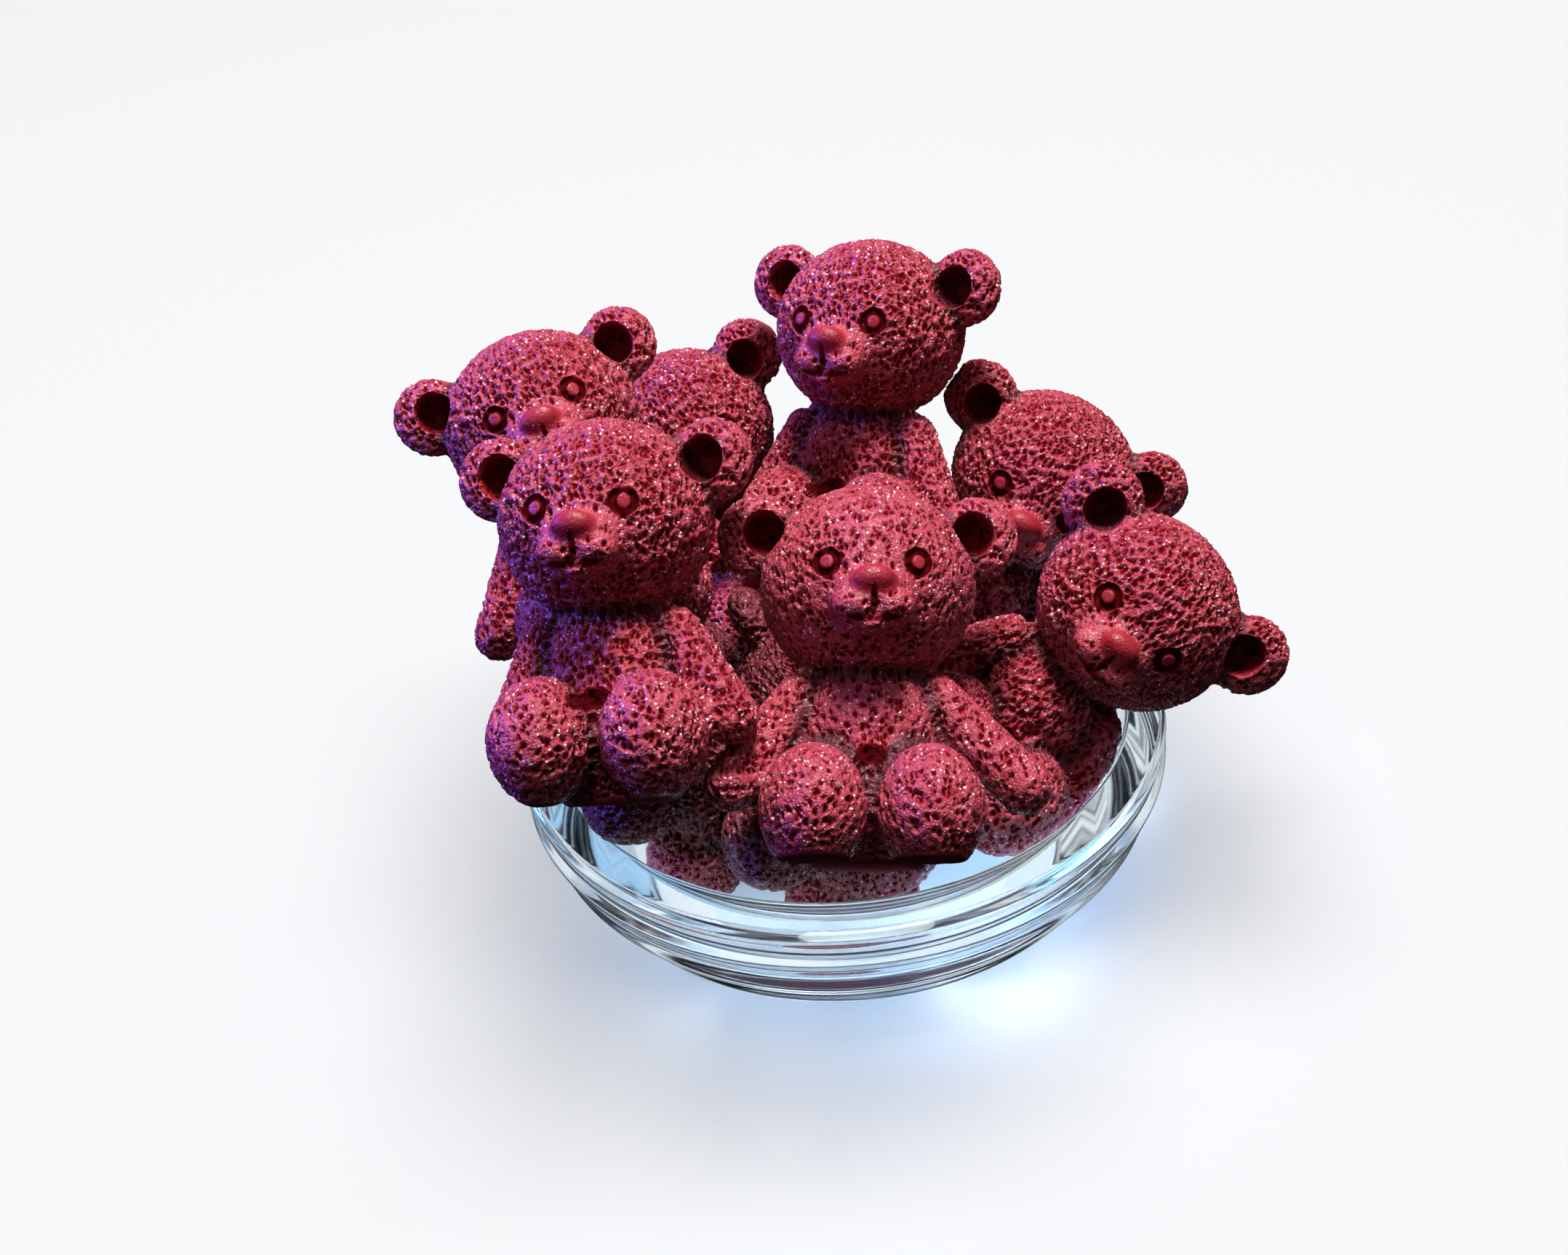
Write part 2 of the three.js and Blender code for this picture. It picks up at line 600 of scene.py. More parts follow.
    def by_arm(self, points: np.ndarray, out: float, side: int) -> np.ndarray:
        """How near points are to an arm.

        Args:
            points: one row a point, in the bear's own frame.
            out: how far the hand is out to the side.
            side: 1 for the right arm or -1 for the left.

        Returns:
            1 on its skin, falling to 0 a little away from it.
        """
        shoulder = np.array((self.shoulder[0] * side, *self.shoulder[1:]))
        along = np.array((out * side, self.hand_forward, self.hand_height)) - shoulder
        share = np.clip((points - shoulder) @ along / (along @ along), 0, 1)
        away = np.linalg.norm(points - shoulder - share[:, None] * along, axis=1)
        return fade(away, self.arm_radius, self.arm_radius + self.crease_width)

    def creases(self, points: np.ndarray, hands: tuple[float, float]) -> np.ndarray:
        """Where two rounded parts of the body meet, so that painted shade goes in the creases.

        Args:
            points: one row a point, in the bear's own frame.
            hands: how far the left and the right hand are out to the side.

        Returns:
            1 for the bottom of a crease, 0 for open skin and between them a blend.
        """
        body = np.maximum(self.chest.nearness(points, 1.0, 1.24), self.belly.nearness(points, 1.0, 1.2))
        folds = [self.head.nearness(points, 1.0, 1.2) * body]
        folds += [self.foot.nearness(points, 1.0, 1.2) * body]
        folds += [self.ear.nearness(points, 1.0, 1.25) * self.head.nearness(points, 1.0, 1.1)]
        folds += [self.by_arm(points, out, side) * body for out, side in zip(hands, (-1, 1))]
        return np.maximum.reduce(folds)

    def smooth_skin(self, points: np.ndarray) -> np.ndarray:
        """Where the mould is polished, so that the skin has fewer and smaller curls.

        Args:
            points: one row a point, in the bear's own frame.

        Returns:
            1 for polished, 0 for curly and between them a blend.
        """
        patches = (
            Patch(self.nose, 1.0, 1.1, 1.5),
            Patch(self.muzzle, 0.45, 1.1, 1.3),
            Patch(self.cheek, 0.5, 1.1, 1.3),
            Patch(self.ear, 0.2, 1.1, 1.3),
            Patch(self.ear_hollow, 0.6, 1.04, 1.15),
        )
        masks = [patch.mark(points) for patch in patches]
        sole = fade(points[:, 1], *self.sole_range) * (points[:, 2] < self.sole_top)
        masks.append(self.sole_polish * sole)
        masks.append(fade(points[:, 2], *self.base_range))
        for side in (-1, 1):
            away = np.linalg.norm(points - np.array(self.eye_middle(side)[0]), axis=1)
            masks.append(fade(away, *self.eye_range))
        return np.maximum.reduce(masks)

    def hollows(self, points: np.ndarray) -> np.ndarray:
        """Where the skin lies deep in a hollow and gets painted shade: in the ears, round the eyes, in the
        navel and under the nose.

        Args:
            points: one row a point, in the bear's own frame.

        Returns:
            1 for the bottom of a hollow, 0 for open skin and between them a blend.
        """
        # Painted shade in the navel, the groove under the nose and the mouth's lines, and a little on the
        # nose.
        patches = (
            Patch(self.nose, 0.34, 1.1, 1.25),
            Patch(self.navel, 0.95, 1.05, 1.4),
            Patch(self.groove_under_nose, 0.9, 1.1, 1.6),
            Patch(self.mouth, 0.8, 1.1, 1.6),
        )
        masks = [patch.mark(points) for patch in patches]
        # Painted shade deep in the ear hollow, darker towards its back.
        back_of_ear = fade(points[:, 1] - self.ear.at[1], *self.ear_range)
        masks.append(Patch(self.ear_hollow, 0.75, 1.06, 1.2).mark(points) * back_of_ear)
        for side in (-1, 1):
            middle, turn = self.eye_middle(side)
            local = (points - np.array(middle)) @ np.array(turn.to_matrix())
            out = np.hypot(local[:, 0], local[:, 1])
            from_ring = np.hypot(out - self.eye_ring, local[:, 2] + self.eye_ring_sunk)
            # Painted shade along the groove round the eye.
            masks.append(fade(from_ring, *self.ring_range))
            on_eye = (out < self.eye_ring) * (np.abs(local[:, 2]) < self.eye_reach)
            masks.append(self.eye_dark * on_eye)
        return np.maximum.reduce(masks)


@dataclass(frozen=True)
class Curls:
    """The curly coat that the mould presses into a bear: close-set pits between narrow rounded ridges.

    Depths, wander and crumple are millimetres. A pit's rim and bottom are distances from its middle in cells,
    and width to height is the shape of a pit. Narrowing and thinning say how much smaller and rarer the pits
    are where the mould is polished. They fade out from fade_from to full polish.
    """

    pits_to_a_mm: float = 1.55
    pit_rim: float = 0.80
    pit_bottom: float = 0.18
    pit_depth: float = 0.55
    small_to_a_mm: float = 2.6
    small_rim: float = 0.6
    small_bottom: float = 0.2
    small_depth: float = 0.12
    swells_to_a_mm: float = 0.45
    swell_depth: float = 0.2
    wanders_to_a_mm: float = 0.4
    wander: float = 0.8
    crumples_to_a_mm: float = 0.9
    crumple: float = 0.95
    width_to_height: float = 0.62
    narrowing: float = 0.5
    thinning: float = 0.85
    fade_from: float = 0.7

    def lay_out(self, wire: Wiring, mould: Socket) -> Socket:
        """Pushes the mould's coordinates about, so that no row of pits runs straight.

        Args:
            wire: the node tree that needs them.
            mould: the mould's coordinates, in millimetres.

        Returns:
            The coordinates that the pits lie on.
        """
        at = mould
        for scale, reach in ((self.wanders_to_a_mm, self.wander), (self.crumples_to_a_mm, self.crumple)):
            push = wire.vector("SUBTRACT", wire.noise(mould, scale, 1.0, colour=True), (0.5, 0.5, 0.5))
            at = wire.vector("MULTIPLY_ADD", push, (reach,) * 3, at)
        return wire.vector("MULTIPLY", at, (1, 1, self.width_to_height))

    def pattern(self, wire: Wiring, mould: Socket, polished: Socket) -> tuple[Socket, Socket, Socket]:
        """Lays out the pits on the mould's own coordinates, for the skin's shape and for its colour alike.

        Args:
            wire: the node tree that needs them.
            mould: the mould's coordinates, in millimetres.
            polished: how polished the mould is.

        Returns:
            How far a point lies down a pit's slope, how deep it is in the pit's dark bottom and how deep in a
            small pit, each from 0 to 1.
        """
        at = self.lay_out(wire, mould)
        away, own = wire.cells(at, self.pits_to_a_mm)
        chance = wire.math("SUBTRACT", wire.part(own, 0), wire.math("MULTIPLY", polished, self.thinning))
        curly = wire.ease(polished, 1.0, self.fade_from)
        kept = wire.math("MULTIPLY", wire.ease(chance, -0.02, 0.02), curly)
        rim = wire.math("MULTIPLY_ADD", polished, -self.narrowing, self.pit_rim)
        slope = wire.math("MULTIPLY", wire.ease(away, rim, self.pit_bottom), kept)
        pit_shade = wire.ease(slope, 0.5, 1.0)
        small = wire.ease(wire.cells(at, self.small_to_a_mm)[0], self.small_rim, self.small_bottom)
        small = wire.math("MULTIPLY", small, wire.math("SUBTRACT", 1.0, slope))
        return slope, pit_shade, wire.math("MULTIPLY", small, curly)

    def nodes(self) -> bpy.types.NodeTree:
        """Builds the Geometry Nodes that press the coat in.

        Returns:
            A node tree for a modifier.
        """
        tree = bpy.data.node_groups.new("curly_coat", "GeometryNodeTree")
        for way in ("INPUT", "OUTPUT"):
            tree.interface.new_socket("Geometry", in_out=way, socket_type="NodeSocketGeometry")
        wire = Wiring(tree)
        skin = wire.add("NodeGroupInput").outputs[0]
        mould, polished = (
            wire.add("GeometryNodeInputNamedAttribute", {"Name": name}, data_type=kind).outputs[0]
            for name, kind in (("mould", "FLOAT_VECTOR"), ("polished", "FLOAT"))
        )
        slope, _, small = self.pattern(wire, mould, polished)
        swell = wire.math("MULTIPLY", wire.noise(mould, self.swells_to_a_mm, 1.0), self.swell_depth)
        depth = wire.math("MULTIPLY_ADD", small, self.small_depth, swell)
        depth = wire.math("MULTIPLY_ADD", slope, self.pit_depth, depth)
        outward = wire.add("GeometryNodeInputNormal").outputs[0]
        inputs = {0: outward, "Scale": wire.math("MULTIPLY", depth, -1.0)}
        inward = wire.add("ShaderNodeVectorMath", inputs, operation="SCALE").outputs[0]
        pressed = wire.add("GeometryNodeSetPosition", {"Geometry": skin, "Offset": inward})
        wire.add("NodeGroupOutput", {0: pressed.outputs[0]})
        return tree


# ---- Finishes ----


@dataclass(frozen=True)
class Skin:
    """What a finish knows of a point on a bear's skin, each a node's output.

    Mould is its place in the mould, and sunk how deep it lies in a pit or a hollow. The others say from 0
    to 1 how polished the mould is, how far the point is down a hollow, how much shade is painted on it for a
    crease or for the bottom of the heap, how far it is down a pit's slope, and whether it lies on the flat
    base.
    """

    mould: Socket
    polished: Socket
    hollow: Socket
    fold_and_heap_shade: Socket
    slope: Socket
    sunk: Socket
    flat: Socket


@dataclass(frozen=True)
class GummyFinish:
    """Dark red fruit gummy: a dull sugary bloom and painted highlights on its ridges, painted shade in its
    pits, and wet glints.

    An edge gives where a colour starts and where it is full, and sugared which cells carry a pale grain of
    sugar, which also serves as a painted glint.
    Reliefs and the glow's depth are metres.
    """

    ridge: Colour = (0.34, 0.013, 0.024, 1)
    # The bloom colour serves both the sugary bloom in clouds and the painted highlight on the crests.
    bloom_and_highlight: Colour = (0.50, 0.060, 0.092, 1)
    # The sugar colour is pale sugar specks that also stand in for glints: painted glints.
    sugar_and_glint: Colour = (0.94, 0.60, 0.66, 1)
    # The wall and pit colours are painted shade: darker and redder down each pit.
    wall_shade: Colour = (0.30, 0.008, 0.015, 1)
    pit_shade: Colour = (0.13, 0.002, 0.004, 1)
    # Shade is near-black painted shade for the hollows, the creases and the buried bears.
    shade: Colour = (0.035, 0.002, 0.003, 1)
    base: Colour = (0.26, 0.040, 0.045, 1)
    clouds_to_a_mm: float = 0.6
    cloud_edge: Range = (0.35, 0.7)
    crest_highlight_edge: Range = (0.3, 0.0)
    sugar_to_a_mm: float = 1.7
    sugar_edge: Range = (0.3, 0.16)
    sugared: Range = (0.42, 0.47)
    small_pit_share: float = 0.35
    wall_edge: Range = (0.05, 0.6)
    pit_edge: Range = (0.5, 1.0)
    hollow_shade: float = 0.7
    crease_shade: float = 0.85
    base_edge: Range = (0.6, 0.2)
    grain_to_a_mm: float = 3.0
    crumbs_to_a_mm: float = 2.4
    roughness: float = 0.45
    roughness_spread: float = 0.12
    relief: float = 0.0003
    wet_relief: float = 0.0006
    gloss: float = 0.25
    wet_roughness: float = 0.08
    glow: float = 0.15
    glow_reach: Tint = (1.0, 0.12, 0.14)
    glow_depth: float = 0.0006

    def read_skin(self, wire: Wiring, curls: Curls) -> Skin:
        """Reads the marks that a bear's mesh carries and lays the coat's pits out over them.

        Args:
            wire: the material's node tree.
            curls: the coat.

        Returns:
            The marks.
        """
        mould = wire.add("ShaderNodeAttribute", attribute_name="mould").outputs["Vector"]
        polished, hollow, fold_and_heap_shade = (
            wire.add("ShaderNodeAttribute", attribute_name=name).outputs["Fac"]
            for name in ("polished", "hollow", "fold_and_heap_shade")
        )
        slope, pit_shade, small = curls.pattern(wire, mould, polished)
        sunk = wire.math("MAXIMUM", wire.math("MULTIPLY_ADD", small, self.small_pit_share, pit_shade), hollow)
        flat = wire.ease(wire.part(mould, 2), *self.base_edge)
        return Skin(mould, polished, hollow, fold_and_heap_shade, slope, sunk, flat)

    def open_colour(self, wire: Wiring, skin: Skin) -> Socket:
        """Colours the ridges: bloom in clouds, a painted highlight along the crests, and pale grains of sugar
        that are also painted glints.

        Args:
            wire: the material's node tree.
            skin: the marks.

        Returns:
            The colour.
        """
        cloudy = wire.ease(wire.noise(skin.mould, self.clouds_to_a_mm, 3.0), *self.cloud_edge)
        cloudy = wire.math("MULTIPLY", cloudy, wire.ease(skin.polished, 0.3, 1.0, 1.0, 0.2))
        # Painted highlight: the crests of the ridges are lighter, as where the light catches them.
        crest_highlight = wire.ease(skin.slope, *self.crest_highlight_edge)
        crest_highlight = wire.math("MULTIPLY", crest_highlight, wire.ease(skin.polished, 0.3, 1.0, 0.7, 0.1))
        colour = wire.blend(wire.math("MAXIMUM", cloudy, crest_highlight), self.ridge, self.bloom_and_highlight)
        # Pale sugar specks, which also serve as painted glints.
        away, own = wire.cells(skin.mould, self.sugar_to_a_mm)
        sugared = wire.ease(wire.part(own, 1), *self.sugared)
        sugar_glints = wire.math("MULTIPLY", wire.ease(away, *self.sugar_edge), sugared)
        sugar_glints = wire.math("MULTIPLY", sugar_glints, wire.ease(skin.polished, 0.6, 0.4))
        return wire.blend(sugar_glints, colour, self.sugar_and_glint)

    def colour(self, wire: Wiring, skin: Skin) -> Socket:
        """Colours the whole skin: painted shade down the pits, hollows and creases, and plain on the flat
        base.

        Args:
            wire: the material's node tree.
            skin: the marks.

        Returns:
            The colour.
        """
        colour = self.open_colour(wire, skin)
        # Painted shade: darker and redder down a pit's wall, darkest at its bottom.
        colour = wire.blend(wire.ease(skin.sunk, *self.wall_edge), colour, self.wall_shade)
        colour = wire.blend(wire.ease(skin.sunk, *self.pit_edge), colour, self.pit_shade)
        # Painted shade: near-black in the hollows, in the creases and over the buried bears.
        in_hollow = wire.ease(skin.hollow, 0.4, 1.0, 0.0, self.hollow_shade)
        in_crease = wire.math("MULTIPLY", skin.fold_and_heap_shade, self.crease_shade)
        colour = wire.blend(wire.math("MAXIMUM", in_hollow, in_crease), colour, self.shade)
        return wire.blend(skin.flat, colour, self.base)

    def add_grain(self, wire: Wiring, skin: Skin, shader: bpy.types.Node) -> None:
        """Roughens the skin and the wet film on it with fine grain and crumbs.

        Args:
            wire: the material's node tree.
            skin: the marks.
            shader: the Principled shader.
        """
        grain = wire.noise(skin.mould, self.grain_to_a_mm, 3.0)
        smoothest = self.roughness - self.roughness_spread
        roughest = self.roughness + self.roughness_spread
        wire.plug(wire.ease(grain, 0.35, 0.65, smoothest, roughest), shader.inputs["Roughness"])
        crumbs = wire.ease(wire.cells(skin.mould, self.crumbs_to_a_mm)[0], 0.5, 0.1)
        fine = wire.math("MULTIPLY_ADD", crumbs, -0.5, wire.math("MULTIPLY", grain, 0.7))
        fine = wire.math("MULTIPLY", fine, wire.ease(skin.polished, 0.0, 1.0, 1.0, 0.3))
        height = wire.math("MULTIPLY_ADD", skin.slope, -1.2, fine)
        normal = wire.bump(height, 0.7, self.relief)
        wire.plug(normal, shader.inputs["Normal"])
        wire.plug(wire.bump(fine, 1.0, self.wet_relief, normal), shader.inputs["Coat Normal"])

    def add_film(self, wire: Wiring, skin: Skin, shader: bpy.types.Node) -> None:
        """Lays a thin wet film over the open skin, but not in pits, in hollows or on the flat base.

        Args:
            wire: the material's node tree.
            skin: the marks.
            shader: the Principled shader.
        """
        above_base = wire.math("SUBTRACT", 1.0, skin.flat)
        open_skin = wire.math("MULTIPLY", wire.ease(skin.sunk, 1.0, 0.3), above_base)
        wire.plug(wire.math("MULTIPLY", open_skin, self.gloss), shader.inputs["Specular IOR Level"])
        film = wire.math("MULTIPLY", open_skin, wire.ease(skin.polished, 0.4, 1.0, 1.0, 0.4))
        wire.plug(film, shader.inputs["Coat Weight"])
        shader.inputs["Coat Roughness"].default_value = self.wet_roughness

    def material(self, curls: Curls) -> bpy.types.Material:
        """Builds the material.

        Args:
            curls: the coat, whose pits the colour follows.

        Returns:
            A procedural material on the bear's own mould coordinates.
        """
        material = bpy.data.materials.new("dark_red_gummy")
        material.use_nodes = True
        wire = Wiring(material.node_tree)
        shader = material.node_tree.nodes["Principled BSDF"]
        skin = self.read_skin(wire, curls)
        wire.plug(self.colour(wire, skin), shader.inputs["Base Color"])
        self.add_grain(wire, skin, shader)
        self.add_film(wire, skin, shader)
        shader.inputs["Subsurface Weight"].default_value = self.glow
        shader.inputs["Subsurface Radius"].default_value = self.glow_reach
        shader.inputs["Subsurface Scale"].default_value = self.glow_depth
        return material


@dataclass(frozen=True)
class GlassFinish:
    """Clear thick glass with a breath of blue, very slightly uneven as pressed glass is."""

    tint: Colour = (0.93, 0.985, 1.0, 1)
    bend: float = 1.42
    roughness: float = 0.07
    ripples_to_a_metre: float = 60.0
    ripple_strength: float = 0.08
    ripple_height: float = 0.001

    def material(self) -> bpy.types.Material:
        """Builds the material.

        Returns:
            The glass, on the dish's own coordinates.
        """
        material = bpy.data.materials.new("clear_glass")
        material.use_nodes = True
        wire = Wiring(material.node_tree)
        shader = material.node_tree.nodes["Principled BSDF"]
        shader.inputs["Base Color"].default_value = self.tint
        shader.inputs["Roughness"].default_value = self.roughness
        shader.inputs["IOR"].default_value = self.bend
        shader.inputs["Transmission Weight"].default_value = 1.0
        at = wire.add("ShaderNodeTexCoord").outputs["Object"]
        ripple = wire.noise(at, self.ripples_to_a_metre, 1.0)
        wire.plug(wire.bump(ripple, self.ripple_strength, self.ripple_height), shader.inputs["Normal"])
        return material


# ---- Pieces ----


@dataclass
class Dish:
    """A thick round glass dish with rings of glass outside.

    Bowl is its inner side, as shares of the mouth's radius and heights over the floor. The inner and the
    outer side end rim_side below the top, and rounding gives the points over the rim's edges, as distances
    in from an edge and down from the top. Foot is the ring that it stands on, as distances in from the
    base's edge and up, round a hollow that is foot_hollow deep. Fullness shapes the swell from base to bulge,
    and corners sharper than crisp, in degrees, stay sharp.
    """

    mouth: float = 35.8
    rim: float = 40.7
    height: float = 20.5
    floor: float = 5.5
    base: float = 31.0
    bulge: float = 41.3
    fullness: float = 0.8
    bands: tuple[float, ...] = (17.5, 12.0, 6.5)
    lowest_band: float = 0.8
    points_to_a_band: int = 8
    groove: float = 0.7
    bowl: tuple[tuple[float, float], ...] = (
        (0.0, 0.0),
        (0.33, 0.1),
        (0.66, 0.4),
        (0.78, 1.2),
        (0.86, 2.6),
        (0.92, 4.6),
        (0.96, 7.0),
        (0.985, 11.0),
    )
    rim_side: float = 0.5
    rounding: tuple[tuple[float, float], ...] = ((0.2, 0.12), (0.7, 0.0))
    foot: tuple[tuple[float, float], ...] = ((0.0, 0.25), (0.5, 0.0), (2.5, 0.0), (3.5, 0.6))
    foot_hollow: float = 0.8
    crisp: float = 50.0
    steps: int = 144
    cutter_steps: int = 96
    piece: bpy.types.Object | None = None

    def outside_radius(self, z: float) -> float:
        """Radius of the plain outside at a height: it swells from the base and draws in to the rim.

        Args:
            z: the height.

        Returns:
            The radius.
        """
        widest = self.bands[0]
        if z > widest:
            return self.bulge + (self.rim - self.bulge) * (z - widest) / (self.height - widest)
        return self.base + (self.bulge - self.base) * math.sin(math.pi / 2 * z / widest) ** self.fullness

    def outside(self) -> Outline:
        """The outline's outer side, from the rim down: a convex ring of glass between each two grooves.

        Returns:
            Points as radius and height.
        """
        levels = [self.height - self.rim_side, *self.bands, self.lowest_band]
        points = []
        for top, bottom in zip(levels, levels[1:]):
            for step in range(self.points_to_a_band):
                share = step / self.points_to_a_band
                z = top + (bottom - top) * share
                sunk = self.groove * math.cos(math.pi * share) ** 2
                points.append((self.outside_radius(z) - sunk, z))
        return points

    def inside(self, grow: float) -> Outline:
        """The outline's inner side, from the middle of the floor up to the mouth.

        Args:
            grow: how much thicker the glass is made, where it serves as a cutter.

        Returns:
            Points as radius and height.
        """
        points = [(self.mouth * share, self.floor + up) for share, up in self.bowl]
        points.append((self.mouth, self.height - self.rim_side))
        return [(max(r - grow, 0.0), z + grow) for r, z in points]

    def over_rim(self) -> Outline:
        """The outline over the rim, from its inner edge to its outer one.

        Returns:
            Points as radius and height.
        """
        inner = [(self.mouth + across, self.height - down) for across, down in self.rounding]
        outer = [(self.rim - across, self.height - down) for across, down in reversed(self.rounding)]
        return inner + outer

    def under(self) -> Outline:
        """The outline under the dish, from the base's edge to the middle.

        Returns:
            Points as radius and height.
        """
        ring = [(self.base - across, up) for across, up in self.foot]
        return [*ring, (0.0, self.foot_hollow)]

    def lathe(self, outline: Outline, steps: int) -> bpy.types.Object:
        """Turns an outline round the Z axis.

        Args:
            outline: points as radius and height, from the axis back to the axis.
            steps: faces round the axis.

        Returns:
            The closed turned shape.
        """
        bpy.ops.mesh.primitive_plane_add(size=1)
        turned = bpy.context.object
        bpy.ops.object.mode_set(mode="EDIT")
        bpy.ops.mesh.select_all(action="SELECT")
        bpy.ops.mesh.merge(type="CENTER")
        bpy.ops.transform.translate(value=(outline[0][0], 0, outline[0][1]))
        for (r0, z0), (r1, z1) in zip(outline, outline[1:]):
            bpy.ops.mesh.extrude_region_move(TRANSFORM_OT_translate={"value": (r1 - r0, 0, z1 - z0)})
        bpy.ops.mesh.select_all(action="SELECT")
        bpy.ops.mesh.spin(steps=steps, angle=2 * math.pi, center=(0, 0, 0), axis=(0, 0, 1))
        bpy.ops.mesh.select_all(action="SELECT")
        bpy.ops.mesh.remove_doubles(threshold=1e-3)
        bpy.ops.mesh.normals_make_consistent(inside=False)
        bpy.ops.object.mode_set(mode="OBJECT")
        return turned

    def cutter(self, gap: float) -> bpy.types.Object:
        """A plain dish with a gap added to its inner side, to cut the bears that lie against it.

        Args:
            gap: the air left between the glass and a bear.

        Returns:
            The closed cutter, in millimetres.
        """
        below = -1.0
        outline = [*self.inside(gap), (self.rim, self.height + gap), (self.rim, below), (0.0, below)]
        return self.lathe(outline, self.cutter_steps)

    def build(self) -> None:
        """Turns the dish, rounds its rim and lays it in its place."""
        outline = [*self.inside(0.0), *self.over_rim(), *self.outside(), *self.under()]
        dish = self.lathe(outline, self.steps)
        dish.name = dish.data.name = "glass_dish"
        dish.data.transform(Matrix.Scale(MM, 4))
        select_only(dish)
        bpy.ops.object.shade_smooth_by_angle(angle=math.radians(self.crisp))
        self.piece = dish

    def dress(self, finish: bpy.types.Material) -> None:
        """Gives the dish its glass and sets it in the frame.

        Args:
            finish: the glass.
        """
        self.piece.data.materials.append(finish)
        # Clear glass lets the light through to the bears and the floor.
        self.piece.visible_shadow = False
        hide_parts("dish")
        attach(self.piece, ROOT)


@dataclass
class Bear:
    """One bear, where it lies in the heap.

    Base is the middle of its flat base, lean its angle from upright, towards the compass direction that it
    leans to (0 is +X and 90 is +Y), turn its turn about its own height, and hands how far each hand hangs
    out to the side. Feet up moves its feet up or down from where they usually are. Calm thins its curls out,
    from 0 to 1. Shaded darkens its skin with painted shade, from 0 to 1, as at the bottom of the heap, and a
    curly base has no polished flat under it.
    """

    node: str
    base: Point
    lean: float
    towards: float
    turn: float
    hands: tuple[float, float] = (13.0, 13.0)
    grain: Grain = Grain.SHOWN
    feet_up: float = 0.0
    calm: float = 0.0
    shaded: float = 0.0
    curly_base: bool = False
    form: bpy.types.Object | None = None
    piece: bpy.types.Object | None = None

    def place(self) -> Matrix:
        """The move from the mould's frame to the heap, in millimetres."""
        direction = math.radians(self.towards + 90)
        axis = Vector((math.cos(direction), math.sin(direction), 0))
        lean = Matrix.Rotation(math.radians(self.lean), 4, axis)
        return Matrix.Translation(self.base) @ lean @ Matrix.Rotation(math.radians(self.turn), 4, "Z")

    def cast(self, mould: Mould, edge: float) -> None:
        """Casts the plain form and lays it in its place.

        Args:
            mould: the mould that all the bears share.
            edge: length of an edge of the form's skin.
        """
        self.form = mould.plain_form(self.hands, self.feet_up, edge)
        self.form.data.transform(self.place())
        self.form.name = "form_" + self.node

    def swollen(self, gap: float) -> bpy.types.Object:
        """The plain form grown by a gap, to cut a neighbour clear of it.

        Args:
            gap: the air left between two bears.

        Returns:
            The cutter.
        """
        cutter = copy_of(self.form)
        apply_modifier(cutter, "DISPLACE", strength=gap, mid_level=0.0)
        return cutter

    def drop_crumbs(self) -> None:
        """Keeps the body that holds the head, where a cut has left loose crumbs beside it."""
        up = np.array(self.place().to_3x3() @ Vector((0, 0, 1)))
        highest = int(np.argmax(points_of(self.piece) @ up))
        select_points(self.piece, [highest])
        bpy.ops.mesh.select_linked(delimit=set())
        bpy.ops.mesh.select_all(action="INVERT")
        bpy.ops.mesh.delete(type="VERT")
        bpy.ops.object.mode_set(mode="OBJECT")

    def mark_skin(self, mould: Mould) -> None:
        """Writes on the mesh each point's place in the mould, how polished or hollow its skin is, and how
        much shade is painted on it in its creases and at the bottom of the heap.

        Args:
            mould: the mould that all the bears share.
        """
        mesh = self.piece.data
        back = np.array(self.place().inverted())
        own = points_of(self.piece) @ back[:3, :3].T + back[:3, 3]
        if self.curly_base:
            above_base = 1.5
            own[:, 2] = np.maximum(own[:, 2], above_base)
        where = mesh.attributes.new("mould", "FLOAT_VECTOR", "POINT")
        where.data.foreach_set("vector", own.astype(np.float32).ravel())
        masks = {
            "polished": np.maximum(mould.smooth_skin(own), self.calm),
            "hollow": mould.hollows(own),
            # Painted shade in the creases, and over the whole skin of a buried bear.
            "fold_and_heap_shade": np.maximum(mould.creases(own, self.hands), self.shaded),
        }
        for name, values in masks.items():
            mask = mesh.attributes.new(name, "FLOAT", "POINT")
            mask.data.foreach_set("value", values.astype(np.float32))

    def build(self, mould: Mould, coat: bpy.types.NodeTree, cutters: Sequence[bpy.types.Object]) -> None:
        """Cuts the bear clear of what it leans on, gives it its features and presses its coat in.

        Args:
            mould: the mould that all the bears share.
            coat: the Geometry Nodes of the curly coat.
            cutters: what lies in its way, in millimetres.
        """
        self.piece = copy_of(self.form)
        self.piece.name = self.piece.data.name = "gummy_" + self.node
        features = join(mould.cutters())
        features.data.transform(self.place())
        for cutter in [*(c for c in cutters if boxes_meet(c, self.piece)), features]:
            cut_away(self.piece, cutter)
        scrap([features])
        edge = self.grain.value
        melt(self.piece, edge)
        self.drop_crumbs()
        self.mark_skin(mould)
        apply_modifier(self.piece, "NODES", node_group=coat)
        self.piece.data.transform(Matrix.Scale(MM, 4))
        select_only(self.piece)
        bpy.ops.object.shade_smooth()

    def dress(self, finish: bpy.types.Material) -> None:
        """Gives the bear its gummy and sets it in the frame.

        Args:
            finish: the gummy.
        """
        self.piece.data.materials.clear()
        self.piece.data.materials.append(finish)
        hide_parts(self.node)
        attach(self.piece, ROOT)


